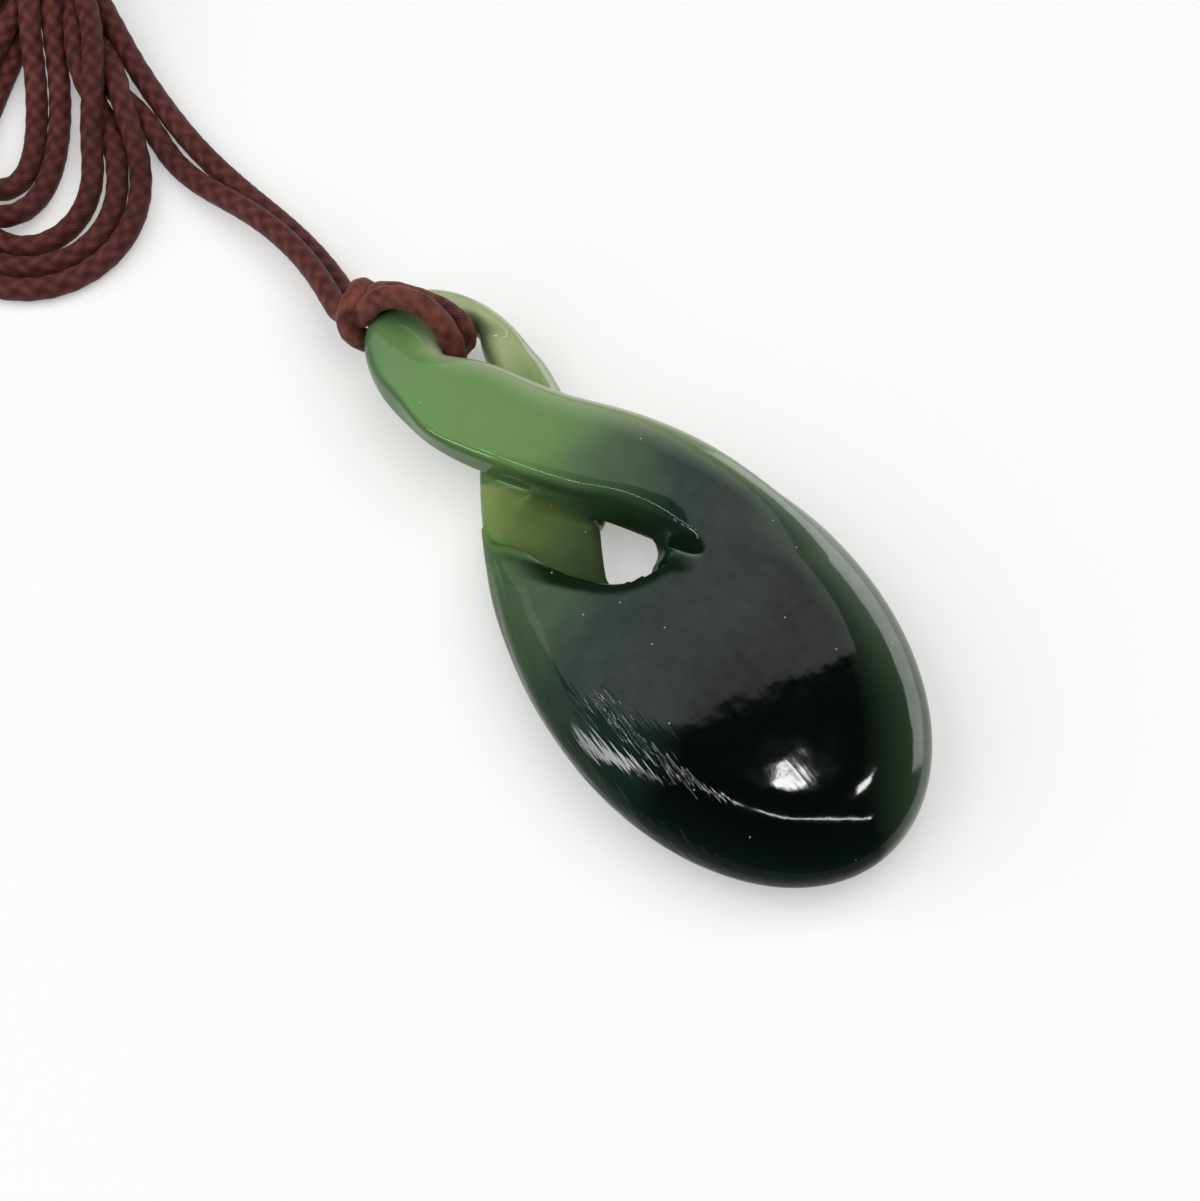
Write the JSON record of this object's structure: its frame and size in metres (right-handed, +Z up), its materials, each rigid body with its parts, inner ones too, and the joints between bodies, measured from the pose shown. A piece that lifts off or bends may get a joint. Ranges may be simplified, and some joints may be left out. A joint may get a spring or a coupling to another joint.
{
  "type": "greenstone twist pendant on a cord",
  "caption": "Carved green stone pendant, a solid teardrop lobe whose two strands cross once and join in a loop, hitched to a braided necklace cord gathered in a hank.",
  "frame": {"origin": "under the middle of the stone's box, on the surface that it lies on", "axes": "+Y along the stone to its cord loop, +X to its right seen from the front, +Z up out of its front"},
  "size_m": [0.0454, 0.1311, 0.0091],
  "materials": {
    "greenstone": "polished",
    "cord": "waxed braid",
    "tie": "matt"
  },
  "bodies": {
    "root": {"twist_stone": "greenstone", "cord_hitch": "cord", "cord_lead_left": "cord", "cord_lead_right": "cord", "cord_hank": "cord", "hank_tie": "tie", "closure_knot": "cord"}
  },
  "joints": []
}
